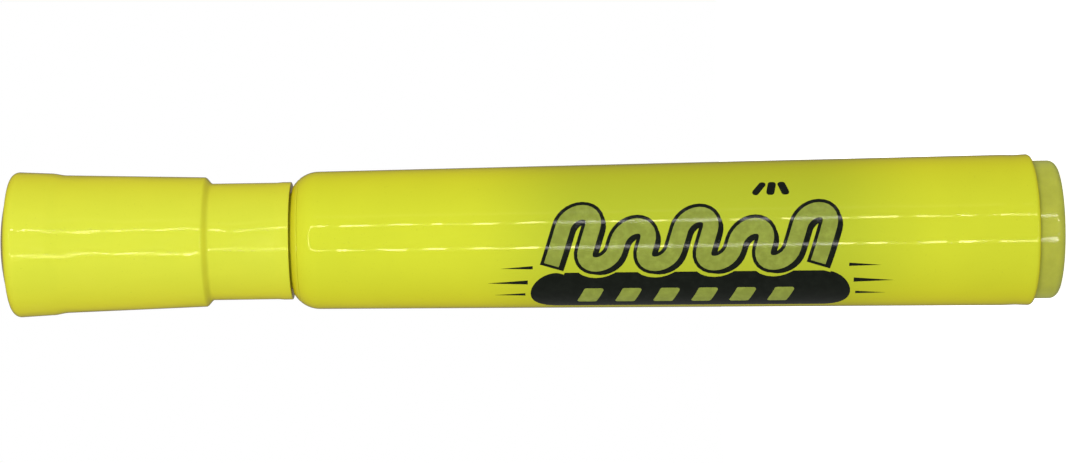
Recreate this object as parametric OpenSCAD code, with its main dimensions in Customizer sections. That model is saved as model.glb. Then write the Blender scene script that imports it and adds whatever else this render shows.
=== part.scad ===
// Capped desk highlighter with a chisel nib, in millimetres, standing on its end plug.
// The origin is the centre of the end plug's flat face. +Z runs to the closed end of the cap.
// The nib's broad faces look along +Y and -Y.

/* [Barrel] */
// Length of the barrel, from its rear rim to its front edge
barrel_l = 85.4; // [70:0.2:110]
// Radius of the barrel where its front rounding starts
barrel_r = 8.05; // [7.6:0.05:10]
// Draft of the barrel's side, in degrees: it widens towards the rear
barrel_draft = 0.55; // [0.2:0.05:0.8]
// Thickness of the barrel's wall
barrel_wall = 1.25; // [1:0.05:1.6]
// Radius of the rounding on the rear rim
rim_round = 0.5; // [0.3:0.05:1]
// Radius of the rounding that runs from the barrel into the nib holder's flange
shoulder_round = 3.5; // [3.1:0.1:5]
// Length of that rounding along the barrel, up to the flange's front face
shoulder_l = 3.0; // [2:0.1:3]
// Length of the narrow throat that grips the nib holder
throat_l = 4.4; // [3:0.1:6]
// Number of ribs inside the barrel that centre the reservoir
rib_count = 6; // [3:1:8]
// Width of each of those ribs
rib_w = 0.9; // [0.6:0.1:1.5]
// Distance from the plug's seat to the rear ends of the ribs
rib_lead = 1.5; // [0.5:0.1:4]
// Height of the ribs above the bore at the front, where they are lowest
rib_h = 0.18; // [0.1:0.02:0.4]

/* [End plug] */
// Height of the part of the plug that shows
plug_head_h = 3.0; // [2:0.1:5]
// How far the plug's side stands in from the widest radius of the barrel
plug_inset = 0.77; // [0.5:0.01:1.2]
// Radius of the rounding round the plug's flat end
plug_edge_round = 1.0; // [0.5:0.1:1.8]
// Length of the skirt that is pressed into the barrel
plug_skirt_l = 7.0; // [5:0.1:10]
// Thickness of the skirt
plug_wall = 1.1; // [0.8:0.05:1.5]
// Thickness of the plug's flat end
plug_floor = 1.3; // [1:0.1:2]
// Thickness of the cross inside the plug
plug_cross_t = 0.9; // [0.6:0.1:1.4]

/* [Nib holder] */
// Thickness of the flange between the barrel and the cap
flange_t = 0.8; // [0.5:0.05:1.2]
// Length of the spigot that is pressed into the barrel
spigot_l = 6.5; // [4:0.1:9]
// Thickness of the spigot and of the neck
holder_wall = 1.15; // [0.9:0.05:1.4]
// How far the neck stands in from the barrel's front radius
neck_inset = 2.45; // [2:0.05:2.8]
// How much wider the spigot is than the neck
spigot_step = 0.6; // [0.4:0.05:0.8]
// Length of the neck that the cap slides on
neck_l = 8.2; // [6:0.1:11]
// Length of the land that the inner cap seals on
land_l = 3.2; // [2:0.1:5]
// Length of the nose in front of the land
nose_l = 4.4; // [3:0.1:7]
// Thinnest wall of the nose, at the nib's corners
nose_wall = 0.4; // [0.3:0.05:0.6]
// Distance of the snap ring in front of the flange
snap_z = 3.2; // [2:0.1:4.5]
// Width of each snap ring
snap_w = 1.2; // [0.8:0.1:1.6]

/* [Nib and reservoir] */
// Width of the nib's broad faces
nib_w = 5.0; // [3.5:0.1:6]
// Thickness of the nib
nib_t = 3.6; // [2.5:0.1:4]
// Radius of the nib's long edges
nib_round = 0.55; // [0.2:0.05:1]
// Length of nib that stands out of the nose
nib_out = 7.0; // [4:0.1:9]
// Length of nib inside the reservoir
nib_in = 6.0; // [3:0.1:12]
// Slant of the writing edge, in degrees
nib_slant = 35; // [15:1:45]
// Width of the bevel on each broad face, at the writing edge
nib_bevel = 0.9; // [0.3:0.1:1.2]
// Slope of those bevels from the writing edge, in degrees
nib_bevel_slope = 60; // [30:1:75]
// Thickness of the nib's wedge end inside the reservoir
wedge_t = 1.2; // [0.4:0.1:2]
// Slope of the wedge's faces, in degrees
wedge_slope = 70; // [50:1:80]
// Thickness of the film round the reservoir
film_t = 0.2; // [0.1:0.02:0.4]

/* [Cap] */
// Length of the cap, from its mouth to the middle of its closed end
cap_l = 33.9; // [29:0.05:45]
// Thickness of the cap's wall
cap_wall = 1.15; // [0.9:0.05:1.5]
// Length of the collar at the mouth
collar_l = 9.2; // [6:0.05:11]
// How far the collar bells out at the mouth
bell_h = 0.06; // [0.01:0.01:0.15]
// Length of that bell
bell_l = 1.8; // [1:0.1:3]
// Length of the step from the collar up to the body
cap_step_l = 0.95; // [0.6:0.05:2]
// Rise of that step
cap_step_h = 0.76; // [0.4:0.02:1.2]
// How much the body widens from the step to the ramp
cap_widen = 0.47; // [0.1:0.01:0.8]
// Length of the ramp from the body up to the band
ramp_l = 2.1; // [1:0.1:4]
// Rise of the ramp
ramp_h = 0.26; // [0.1:0.01:0.5]
// Length of the band at the closed end
band_l = 4.5; // [4:0.1:7]
// How much the band widens towards its end
band_widen = 0.18; // [0.05:0.01:0.3]
// Radius of the rounding round the closed end
cap_edge_round = 1.0; // [0.5:0.05:1.1]
// Height of the dome on the closed end
dome_h = 1.15; // [0.3:0.05:1.5]
// Thickness of the disc that closes the cap
disc_t = 1.1; // [0.8:0.05:1.6]
// Length of the ring that holds the disc in the cap
ring_l = 2.9; // [2:0.1:3.2]
// Thickness of that ring
ring_wall = 0.9; // [0.6:0.05:1.2]
// Thickness of the liner that seals the nib
liner_wall = 0.75; // [0.6:0.05:0.8]

/* [Fits] */
// Gap between the neck and the cap's bore
cap_fit = 0.07; // [0.05:0.01:0.1]
// Gap between the sealing land and the liner
seal_fit = 0.06; // [0.03:0.01:0.1]
// Gap between the snap ring and the cap's bore
snap_fit = 0.02; // [0.01:0.01:0.04]
// Gap that shows between the flange and the cap's mouth
mouth_gap = 0.2; // [0.1:0.05:0.6]
// Gap between the neck's top and the end of the liner
liner_seat_gap = 0.05; // [0.02:0.01:0.1]
// Gap between the ribs and the reservoir
rib_fit = 0.02; // [0.01:0.01:0.1]

/* [Hidden] */
$fn = 96;
ARC_STEPS = 8;
THROUGH = 1;
CHAMFER = 0.4;
SNAP_H = 0.15;

// Heights, from the plug's flat face up
rear_z = plug_head_h;
edge_z = rear_z + barrel_l;
flange_z = edge_z + flange_t;
shoulder_z = flange_z - shoulder_l;
seat_z = rear_z + plug_skirt_l;
throat_z = edge_z - throat_l;
spigot_z = edge_z - spigot_l;
neck_z = flange_z + neck_l;
land_z = neck_z + land_l;
nose_z = land_z + nose_l;
nib_tip_z = nose_z + nib_out;
mouth_z = flange_z + mouth_gap;
collar_z = mouth_z + collar_l;
cap_top_z = mouth_z + cap_l;
cap_rim_z = cap_top_z - dome_h;
band_z = cap_rim_z - band_l;
ramp_z = band_z - ramp_l;
step_z = collar_z + cap_step_l;
liner_z = neck_z + liner_seat_gap;
disc_z = cap_rim_z - disc_t;

// Radii
shoulder_in_r = barrel_r - shoulder_round;
barrel_rear_r = barrel_r + (shoulder_z - rear_z) * tan(barrel_draft);
bore_front_r = barrel_r - barrel_wall;
bore_rear_r = bore_front_r + (throat_z - seat_z) * tan(barrel_draft);
seat_r = barrel_rear_r - barrel_wall;
plug_r = barrel_rear_r - plug_inset;
skirt_in_r = seat_r - plug_wall;
neck_r = barrel_r - neck_inset;
throat_r = neck_r + spigot_step;
spigot_in_r = throat_r - holder_wall;
hollow_r = neck_r - holder_wall;
cap_bore_r = neck_r + cap_fit;
snap_r = cap_bore_r - snap_fit;
liner_in_r = neck_r - liner_wall;
land_r = liner_in_r - seal_fit;
nose_r = norm([nib_w / 2, nib_t / 2]) - nib_round * (sqrt(2) - 1) + nose_wall;
film_r = bore_front_r - rib_h - rib_fit;
core_r = film_r - film_t;
collar_r = cap_bore_r + cap_wall;
waist_r = collar_r + cap_step_h;
ramp_r = waist_r + cap_widen;
band_r = ramp_r + ramp_h;
cap_r = band_r + band_widen;
disc_r = band_r + band_widen / 2 - cap_wall;

// The shoulder's rounding is one arc that runs over the barrel and the flange.
function shoulder_r_at(z) = shoulder_in_r + sqrt(shoulder_round ^ 2 - (z - shoulder_z) ^ 2);
function shoulder_arc(z0, z1) =
    [for (i = [0:ARC_STEPS]) let (z = z0 + (z1 - z0) * i / ARC_STEPS) [shoulder_r_at(z), z]];
function arc(centre, r, a0, a1) =
    [for (i = [0:ARC_STEPS]) let (a = a0 + (a1 - a0) * i / ARC_STEPS) centre + r * [cos(a), sin(a)]];
// An S-shaped rise from point p to point q, flat at both ends in z
function soft_step(p, q) =
    [for (i = [0:ARC_STEPS]) let (t = i / ARC_STEPS)
        [p[0] + (q[0] - p[0]) * (1 - cos(180 * t)) / 2, p[1] + (q[1] - p[1]) * t]];
// A low V-shaped ring of height h and width w on radius r, centred on height z
function ring(r, z, w, h) = [[r, z - w / 2], [r + h, z], [r, z + w / 2]];

// The same ring listed from the top down, for an outline that runs down a bore
function ring_down(r, z, w, h) = [[r, z + w / 2], [r + h, z], [r, z - w / 2]];

module turned(outline) {
    rotate_extrude() polygon(outline);
}

module nib_section() {
    corner = [nib_w / 2 - nib_round, nib_t / 2 - nib_round];
    polygon(concat(
        arc([corner[0], corner[1]], nib_round, 0, 90),
        arc([-corner[0], corner[1]], nib_round, 90, 180),
        arc([-corner[0], -corner[1]], nib_round, 180, 270),
        arc([corner[0], -corner[1]], nib_round, 270, 360)));
}

module barrel_bore() {
    difference() {
        turned(concat(
            [[0, rear_z - THROUGH], [seat_r, rear_z - THROUGH]],
            ring(seat_r, rear_z + plug_skirt_l / 3, snap_w, SNAP_H),
            [[seat_r, seat_z], [bore_rear_r, seat_z], [bore_front_r, throat_z], [throat_r, throat_z],
             [throat_r, edge_z + THROUGH], [0, edge_z + THROUGH]]));
        for (i = [0:rib_count - 1])
            rotate([0, 0, 360 * (i + 0.5) / rib_count])
                translate([film_r + rib_fit, -rib_w / 2, seat_z + rib_lead])
                    cube([barrel_wall + seat_r, rib_w, throat_z - seat_z]);
    }
}

module barrel() {
    color([0.81, 0.85, 0.20])
        difference() {
            turned(concat(
                [[0, rear_z]],
                arc([barrel_rear_r - rim_round, rear_z + rim_round], rim_round, -90, 0),
                shoulder_arc(shoulder_z, edge_z),
                [[0, edge_z]]));
            barrel_bore();
        }
}

module end_plug() {
    color([0.68, 0.70, 0.30]) {
        turned(concat(
            [[0, plug_floor], [0, 0]],
            arc([plug_r - plug_edge_round, plug_edge_round], plug_edge_round, -90, 0),
            [[plug_r, rear_z], [seat_r, rear_z]],
            ring(seat_r, rear_z + plug_skirt_l / 3, snap_w, SNAP_H),
            [[seat_r, seat_z - CHAMFER], [seat_r - CHAMFER, seat_z],
             [skirt_in_r, seat_z], [skirt_in_r, plug_floor]]));
        for (a = [0, 90])
            rotate([0, 0, a])
                translate([-skirt_in_r, -plug_cross_t / 2, plug_floor])
                    cube([2 * skirt_in_r, plug_cross_t, seat_z - plug_floor]);
    }
}

module nib_holder() {
    hollow_z = neck_z - holder_wall;
    color([0.81, 0.85, 0.20])
        difference() {
            turned(concat(
                [[spigot_in_r, spigot_z], [throat_r - CHAMFER, spigot_z], [throat_r, spigot_z + CHAMFER],
                 [throat_r, edge_z]],
                shoulder_arc(edge_z, flange_z),
                [[neck_r, flange_z]],
                ring(neck_r, flange_z + snap_z, snap_w, snap_r - neck_r),
                [[neck_r, neck_z - CHAMFER], [neck_r - CHAMFER, neck_z], [land_r, neck_z],
                 [land_r, land_z], [nose_r + CHAMFER, nose_z - CHAMFER], [nose_r, nose_z], [0, nose_z],
                 [0, hollow_z], [hollow_r, hollow_z], [hollow_r, flange_z], [spigot_in_r, edge_z]]));
            translate([0, 0, hollow_z - THROUGH])
                linear_extrude(nose_z - hollow_z + 2 * THROUGH) nib_section();
        }
}

// A block with its lower face on the XY plane, large enough to cut right across the nib
module cutter() {
    side = 4 * (nib_w + nib_t);
    translate([-side / 2, -side / 2, 0]) cube([side, side, side]);
}

// The writing end is one slanted cut with a bevel on each broad face. The other end is a wedge.
module nib() {
    tail_z = spigot_z - nib_in;
    color([0.86, 0.95, 0.10])
        difference() {
            translate([0, 0, tail_z]) linear_extrude(nib_tip_z - tail_z) nib_section();
            translate([-nib_w / 2, 0, nib_tip_z]) rotate([0, nib_slant, 0]) cutter();
            for (side = [-1, 1]) {
                translate([-nib_w / 2, side * (nib_t / 2 - nib_bevel), nib_tip_z])
                    rotate([0, nib_slant, 0]) rotate([side * -nib_bevel_slope, 0, 0]) cutter();
                translate([0, side * wedge_t / 2, tail_z])
                    rotate([180 + side * wedge_slope, 0, 0]) cutter();
            }
        }
}

module reservoir_core() {
    color([0.90, 0.96, 0.25])
        difference() {
            translate([0, 0, seat_z]) cylinder(r = core_r, h = spigot_z - seat_z);
            translate([0, 0, spigot_z - nib_in]) linear_extrude(nib_in + THROUGH) nib_section();
        }
}

module reservoir_wrap() {
    color([0.93, 0.95, 0.90])
        difference() {
            translate([0, 0, seat_z]) cylinder(r = film_r, h = spigot_z - seat_z);
            translate([0, 0, seat_z - THROUGH]) cylinder(r = core_r, h = spigot_z - seat_z + 2 * THROUGH);
        }
}

module cap() {
    lip_r = collar_r + bell_h;
    color([0.85, 0.88, 0.22])
        turned(concat(
            [[cap_bore_r + CHAMFER / 2, mouth_z], [lip_r - CHAMFER / 2, mouth_z],
             [lip_r, mouth_z + CHAMFER / 2]],
            soft_step([lip_r, mouth_z + bell_l / 2], [collar_r, mouth_z + bell_l]),
            soft_step([collar_r, collar_z], [waist_r, step_z]),
            soft_step([ramp_r, ramp_z], [band_r, band_z]),
            arc([cap_r - cap_edge_round, cap_rim_z - cap_edge_round], cap_edge_round, 0, 90),
            [[disc_r, cap_rim_z], [disc_r, cap_rim_z - ring_l], [band_r - cap_wall, band_z],
             [ramp_r - cap_wall, ramp_z], [waist_r - cap_wall, step_z], [cap_bore_r, collar_z]],
            ring_down(cap_bore_r, flange_z + snap_z, snap_w, SNAP_H),
            [[cap_bore_r, mouth_z + CHAMFER / 2]]));
}

module inner_cap() {
    dome_r = (disc_r ^ 2 + dome_h ^ 2) / (2 * dome_h);
    dome_a = asin(disc_r / dome_r);
    under_a = asin(liner_in_r / (dome_r - disc_t));
    color([0.84, 0.89, 0.24])
        turned(concat(
            arc([0, cap_top_z - dome_r], dome_r, 90, 90 - dome_a),
            [[disc_r, cap_rim_z - ring_l], [disc_r - ring_wall, cap_rim_z - ring_l],
             [disc_r - ring_wall, disc_z], [neck_r, disc_z], [neck_r, liner_z + CHAMFER],
             [neck_r - CHAMFER / 2, liner_z], [liner_in_r, liner_z]],
            arc([0, cap_top_z - dome_r], dome_r - disc_t, 90 - under_a, 90)));
}

barrel();
end_plug();
nib_holder();
nib();
reservoir_core();
reservoir_wrap();
cap();
inner_cap();
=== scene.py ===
"""A capped desk highlighter with a chisel nib: the looks of each piece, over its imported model, and a stage.

Lengths are in metres. +Z runs from the end plug's flat face to the closed end of the cap.
"""

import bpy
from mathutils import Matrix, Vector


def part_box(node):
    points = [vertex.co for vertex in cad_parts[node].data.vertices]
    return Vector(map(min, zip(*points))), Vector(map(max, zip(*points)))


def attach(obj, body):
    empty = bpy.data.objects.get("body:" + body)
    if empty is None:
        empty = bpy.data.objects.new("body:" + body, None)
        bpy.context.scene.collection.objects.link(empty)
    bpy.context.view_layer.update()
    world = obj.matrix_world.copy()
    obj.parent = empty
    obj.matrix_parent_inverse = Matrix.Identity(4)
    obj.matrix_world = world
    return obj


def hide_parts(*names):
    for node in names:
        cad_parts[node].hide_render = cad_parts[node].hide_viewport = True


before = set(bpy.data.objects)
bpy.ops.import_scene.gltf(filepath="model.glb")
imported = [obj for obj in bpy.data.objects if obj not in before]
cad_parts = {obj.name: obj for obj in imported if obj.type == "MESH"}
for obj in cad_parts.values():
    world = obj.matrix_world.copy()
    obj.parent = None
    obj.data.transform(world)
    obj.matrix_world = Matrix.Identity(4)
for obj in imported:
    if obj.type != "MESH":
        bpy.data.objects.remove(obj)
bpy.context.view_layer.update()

import math

import bmesh
import bpy
from bpy.props import FloatProperty, FloatVectorProperty, IntProperty, PointerProperty
from mathutils import Matrix, Vector
from mathutils.geometry import delaunay_2d_cdt

bl_info = {
    "name": "Desk Highlighter",
    "version": (1, 0, 0),
    "blender": (4, 5, 0),
    "location": "3D View > Sidebar > Highlighter",
    "description": "Builds a capped chisel-nib highlighter piece by piece, and a studio stage for it",
    "category": "Add Mesh",
}

MM = 0.001
FULL_TURN = 2 * math.pi


# ---------------------------------------------------------------- nodes and colours


def linear(hex_colour):
    """The linear RGBA of an sRGB hex colour such as '#D9E021'."""
    parts = [int(hex_colour[i : i + 2], 16) / 255 for i in (1, 3, 5)]
    return [c / 12.92 if c <= 0.04045 else ((c + 0.055) / 1.055) ** 2.4 for c in parts] + [1.0]


def shade(colour, amount):
    """A colour made lighter or darker by a factor."""
    return [min(1.0, c * amount) for c in list(colour)[:3]] + [1.0]


def add(tree, kind, inputs=None, **settings):
    """Adds a node with its settings. Each input gets a value, or another node's output socket to link."""
    node = tree.nodes.new(kind)
    for name, value in settings.items():
        setattr(node, name, value)
    for name, value in (inputs or {}).items():
        if isinstance(value, bpy.types.NodeSocket):
            tree.links.new(value, node.inputs[name])
        else:
            node.inputs[name].default_value = value
    return node


def noise(tree, point, size, detail=2.0, roughness=0.5, stretch=(1, 1, 1)):
    """Noise from 0 to 1 whose grains are about size across, and longer along an axis with a low stretch."""
    placed = add(tree, "ShaderNodeMapping", {"Vector": point, "Scale": stretch}).outputs["Vector"]
    inputs = {"Vector": placed, "Scale": 1 / size, "Detail": detail, "Roughness": roughness}
    return add(tree, "ShaderNodeTexNoise", inputs).outputs["Fac"]


def scaled(tree, value, low, high, to_low, to_high):
    """A value's range from low to high, moved to the range from to_low to to_high."""
    inputs = {"Value": value, "From Min": low, "From Max": high, "To Min": to_low, "To Max": to_high}
    return add(tree, "ShaderNodeMapRange", inputs).outputs["Result"]


def eased(tree, value, low, high):
    """A share that rises softly from 0 where a value is low to 1 where it is high."""
    inputs = {"Value": value, "From Min": low, "From Max": high}
    return add(tree, "ShaderNodeMapRange", inputs, interpolation_type="SMOOTHSTEP").outputs["Result"]


def mixed(tree, share, first, second):
    """The first colour where share is 0, and the second where it is 1."""
    return add(tree, "ShaderNodeMix", {0: share, 6: first, 7: second}, data_type="RGBA").outputs[2]


def bumped(tree, height, depth, under=None):
    """A normal that follows a height from 0 to 1, as deep as depth."""
    inputs = {"Height": height, "Strength": 1.0, "Distance": depth}
    if under:
        inputs["Normal"] = under
    return add(tree, "ShaderNodeBump", inputs).outputs["Normal"]


def new_material(name, settings):
    """A node material: its tree, Object coordinates and Principled shader, whose constants are set."""
    material = bpy.data.materials.new(name)
    material.use_nodes = True
    tree = material.node_tree
    tree.nodes.clear()
    shader = add(tree, "ShaderNodeBsdfPrincipled", settings)
    add(tree, "ShaderNodeOutputMaterial", {"Surface": shader.outputs["BSDF"]})
    return material, tree, add(tree, "ShaderNodeTexCoord").outputs["Object"], shader


def surface(tree, shader, colour, roughness, normal):
    """Links what varies over a surface to its shader."""
    tree.links.new(colour, shader.inputs["Base Color"])
    tree.links.new(roughness, shader.inputs["Roughness"])
    tree.links.new(normal, shader.inputs["Normal"])


# ---------------------------------------------------------------- materials


def moulded_polypropylene(name, colour, skin, waves, scuffs, shaded=None):
    """Fluorescent polypropylene, injection moulded in a polished tool: an even, saturated colour under a
    clear glossy skin that makes it deeper and warmer at a shallow angle, soft waves of the given depth
    from the moulding, the fine rubs of handling, and patches that scuffs make duller. Where shaded is
    given, it has painted shade: a deeper colour on its -Y side, between two heights, beside the print."""
    settings = {
        "IOR": 1.49,
        "Specular IOR Level": 0.3,
        "Coat Weight": 1.0,
        "Coat IOR": 1.12,
        "Coat Roughness": 0.05,
        "Coat Tint": skin,
    }
    material, tree, point, shader = new_material(name, settings)
    base = mixed(tree, noise(tree, point, 7 * MM, 3.0), shade(colour, 0.96), shade(colour, 1.04))
    # Painted shade: the colour turns deeper on the -Y side, between two heights, with soft edges.
    if shaded:
        deeper, low, high, fade = shaded
        part = add(tree, "ShaderNodeSeparateXYZ", {0: point}).outputs
        share = eased(tree, part["Y"], fade * 0.7, fade * 0.1)
        for edge, side in ((low, fade), (high, -fade)):
            share = maths(tree, "MULTIPLY", share, eased(tree, part["Z"], edge - side, edge + side))
        base = mixed(tree, share, base, deeper)
    rubs = noise(tree, point, 0.35 * MM, 4.0, 0.65, (1, 1, 0.15))
    specks = noise(tree, point, 0.22 * MM, 1.0)
    swell = scaled(tree, noise(tree, point, 4.5 * MM, 1.5, 0.5, (1, 1, 0.6)), 0.25, 0.75, 0.0, 1.0)
    patches = scaled(tree, noise(tree, point, 3 * MM, 3.0, 0.6, (1, 1, 0.5)), 0.5, 0.7, 0.0, scuffs)
    surface(
        tree,
        shader,
        mixed(tree, scaled(tree, specks, 0.70, 0.78, 0.0, 0.35), base, shade(colour, 0.72)),
        maths(tree, "ADD", scaled(tree, rubs, 0.45, 0.8, 0.02, 0.045), patches),
        bumped(tree, noise(tree, point, 0.3 * MM, 3.0), 0.5e-6, bumped(tree, swell, waves)),
    )
    return material


def satin_polypropylene(name, colour):
    """Undyed polypropylene with a trace of ink in it, moulded with a satin finish: light goes some way
    into it, so it looks cloudy and duller than the dyed plastic, with soft highlights."""
    settings = {
        "IOR": 1.49,
        "Subsurface Weight": 0.35,
        "Subsurface Radius": (1.0, 1.0, 0.4),
        "Subsurface Scale": 1.2 * MM,
    }
    material, tree, point, shader = new_material(name, settings)
    cloud = noise(tree, point, 2.5 * MM, 4.0, 0.6)
    grain = noise(tree, point, 0.25 * MM, 3.0)
    swirl = noise(tree, point, 1.6 * MM, 2.0, 0.5, (1, 1, 0.4))
    surface(
        tree,
        shader,
        mixed(tree, scaled(tree, cloud, 0.3, 0.7, 0.0, 1.0), shade(colour, 0.9), shade(colour, 1.08)),
        scaled(tree, grain, 0.3, 0.7, 0.08, 0.16),
        bumped(tree, grain, 0.8e-6, bumped(tree, swirl, 50e-6)),
    )
    return material


def pad_printed_ink(name, colour, gloss):
    """Pad-printed ink: a thin opaque film, a little less glossy than the plastic, with the faint mottle
    and thin spots that the pad leaves."""
    material, tree, point, shader = new_material(name, {"IOR": 1.5, "Specular IOR Level": 0.35})
    mottle = noise(tree, point, 0.9 * MM, 5.0, 0.65)
    thin = [min(1.0, c * 1.35 + 0.004) for c in list(colour)[:3]] + [1.0]
    surface(
        tree,
        shader,
        mixed(tree, scaled(tree, mottle, 0.42, 0.75, 0.0, 1.0), rgba(colour), thin),
        scaled(tree, mottle, 0.3, 0.7, gloss, gloss + 0.08),
        bumped(tree, mottle, 1.0e-6),
    )
    return material


def bonded_fibre(name, colour, thread, depth):
    """Bonded polyester fibre soaked with ink: matte and faintly furry, of fine threads that run along
    the piece, wetter and deeper in colour between them."""
    settings = {"IOR": 1.45, "Sheen Weight": 0.2, "Sheen Roughness": 0.4}
    material, tree, point, shader = new_material(name, settings)
    threads = noise(tree, point, thread, 4.0, 0.7, (1, 1, 0.06))
    clumps = noise(tree, point, 8 * thread, 2.0)
    woven = mixed(tree, scaled(tree, threads, 0.35, 0.65, 0.0, 1.0), shade(colour, 0.7), shade(colour, 1.0))
    surface(
        tree,
        shader,
        mixed(tree, scaled(tree, clumps, 0.35, 0.7, 0.0, 0.5), woven, shade(colour, 0.78)),
        scaled(tree, threads, 0.3, 0.7, 0.6, 0.85),
        bumped(tree, threads, depth),
    )
    return material


def shrunk_film(name, colour):
    """Polypropylene film shrunk round the fibre: thin and almost clear, with small wrinkles round it."""
    material, tree, point, shader = new_material(name, {"IOR": 1.49, "Transmission Weight": 0.6})
    wrinkles = noise(tree, point, 0.8 * MM, 3.0, 0.5, (0.3, 0.3, 1))
    surface(
        tree,
        shader,
        mixed(tree, wrinkles, shade(colour, 1.0), shade(colour, 0.88)),
        scaled(tree, wrinkles, 0.3, 0.7, 0.08, 0.2),
        bumped(tree, wrinkles, 20e-6),
    )
    return material


# ---------------------------------------------------------------- outlines


def arc(centre, radius, first, last, count=8):
    """Points (r, z) of an arc between two angles in degrees, measured from +r towards +z."""
    turns = [math.radians(first + (last - first) * i / count) for i in range(count + 1)]
    return [(centre[0] + radius * math.cos(a), centre[1] + radius * math.sin(a)) for a in turns]


def soft_step(start, end, count=12):
    """Points (r, z) of an S-shaped change of radius between two points."""
    shares = [i / count for i in range(count + 1)]
    return [
        (
            start[0] + (end[0] - start[0]) * (1 - math.cos(math.pi * t)) / 2,
            start[1] + (end[1] - start[1]) * t,
        )
        for t in shares
    ]


def rounded(corners, count=6):
    """An outline whose corners (r, z, radius) are rounded. Corners without a radius stay as they are."""
    points = []
    for i, corner in enumerate(corners):
        here = Vector(corner[:2])
        if len(corner) < 3:
            points.append(here)
            continue
        back = (Vector(corners[i - 1][:2]) - here).normalized()
        on = (Vector(corners[(i + 1) % len(corners)][:2]) - here).normalized()
        half = back.angle(on) / 2
        reach = corner[2] / math.tan(half)
        centre = here + (back + on).normalized() * corner[2] / math.sin(half)
        first = (here + back * reach) - centre
        last = (here + on * reach) - centre
        sweep = math.atan2(first.x * last.y - first.y * last.x, first.dot(last))
        for k in range(count + 1):
            turn = sweep * k / count
            cos, sin = math.cos(turn), math.sin(turn)
            points.append(centre + Vector((first.x * cos - first.y * sin, first.x * sin + first.y * cos)))
    return points


def filled_in(start, end, gap):
    """Points from start towards end, without the end itself, that are no further apart than gap."""
    start, end = Vector(start), Vector(end)
    count = max(1, math.ceil((end - start).length / gap))
    return [start.lerp(end, i / count) for i in range(count)]


# ---------------------------------------------------------------- geometry nodes


def new_tree(name, inputs):
    """A geometry node tree with named inputs and one output, and the sockets of its inputs."""
    tree = bpy.data.node_groups.new(name, "GeometryNodeTree")
    for label, kind in inputs.items():
        tree.interface.new_socket(label, in_out="INPUT", socket_type="NodeSocket" + kind)
    tree.interface.new_socket("Made", in_out="OUTPUT", socket_type="NodeSocketGeometry")
    return tree, add(tree, "NodeGroupInput").outputs


def maths(tree, operation, first, second=0.0):
    """One step of arithmetic on values or sockets."""
    return add(tree, "ShaderNodeMath", {0: first, 1: second}, operation=operation).outputs[0]


def end_tree(tree, geometry, material):
    """Ends a tree: what it made becomes real geometry, shaded smooth, with its material."""
    real = add(tree, "GeometryNodeRealizeInstances", {"Geometry": geometry}).outputs[0]
    smooth = add(tree, "GeometryNodeSetShadeSmooth", {0: real}).outputs[0]
    coated = add(tree, "GeometryNodeSetMaterial", {"Geometry": smooth, "Material": material}).outputs[0]
    add(tree, "NodeGroupOutput", {0: coated})
    return tree


def turning_tree():
    """Turns an outline round Z. It is a mesh line in the XZ plane, whose ends are joined or on the axis."""
    tree, given = new_tree("turned", {"Outline": "Geometry", "Steps": "Int", "Material": "Material"})
    size = add(tree, "GeometryNodeAttributeDomainSize", {"Geometry": given["Outline"]})
    count = size.outputs["Point Count"]
    columns = maths(tree, "ADD", given["Steps"], 1.0)
    sheet = add(tree, "GeometryNodeMeshGrid", {"Vertices X": columns, "Vertices Y": count})

    # The sheet has one column of outline points for each step round, numbered column by column.
    index = add(tree, "GeometryNodeInputIndex").outputs[0]
    column = maths(tree, "FLOOR", maths(tree, "DIVIDE", maths(tree, "ADD", index, 0.5), count))
    row = maths(tree, "SUBTRACT", index, maths(tree, "MULTIPLY", column, count))
    turn = maths(tree, "MULTIPLY", column, maths(tree, "DIVIDE", FULL_TURN, given["Steps"]))
    place = add(
        tree,
        "GeometryNodeSampleIndex",
        {"Geometry": given["Outline"], "Index": row},
        data_type="FLOAT_VECTOR",
        domain="POINT",
    )
    tree.links.new(add(tree, "GeometryNodeInputPosition").outputs[0], place.inputs["Value"])
    part = add(tree, "ShaderNodeSeparateXYZ", {0: place.outputs[0]}).outputs
    point = {
        "X": maths(tree, "MULTIPLY", part["X"], maths(tree, "COSINE", turn)),
        "Y": maths(tree, "MULTIPLY", part["X"], maths(tree, "SINE", turn)),
        "Z": part["Z"],
    }
    point = add(tree, "ShaderNodeCombineXYZ", point).outputs[0]
    placed = add(tree, "GeometryNodeSetPosition", {"Geometry": sheet.outputs[0], "Position": point})
    closed = {"Geometry": placed.outputs[0], "Distance": 1e-6}
    closed = add(tree, "GeometryNodeMergeByDistance", closed).outputs[0]
    return end_tree(tree, closed, given["Material"])


def repeating_tree():
    """Repeats a shape at even angles round Z."""
    tree, given = new_tree("repeated", {"Shape": "Geometry", "Count": "Int", "Material": "Material"})
    single = add(tree, "GeometryNodeGeometryToInstance", {0: given["Shape"]}).outputs[0]
    copies = {"Geometry": single, "Amount": given["Count"]}
    copies = add(tree, "GeometryNodeDuplicateElements", copies, domain="INSTANCE").outputs
    step = maths(tree, "DIVIDE", FULL_TURN, given["Count"])
    turn = maths(tree, "MULTIPLY", copies["Duplicate Index"], step)
    turn = add(tree, "ShaderNodeCombineXYZ", {"Z": turn}).outputs[0]
    around = {"Instances": copies["Geometry"], "Rotation": turn, "Local Space": False}
    return end_tree(tree, add(tree, "GeometryNodeRotateInstances", around).outputs[0], given["Material"])


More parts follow.
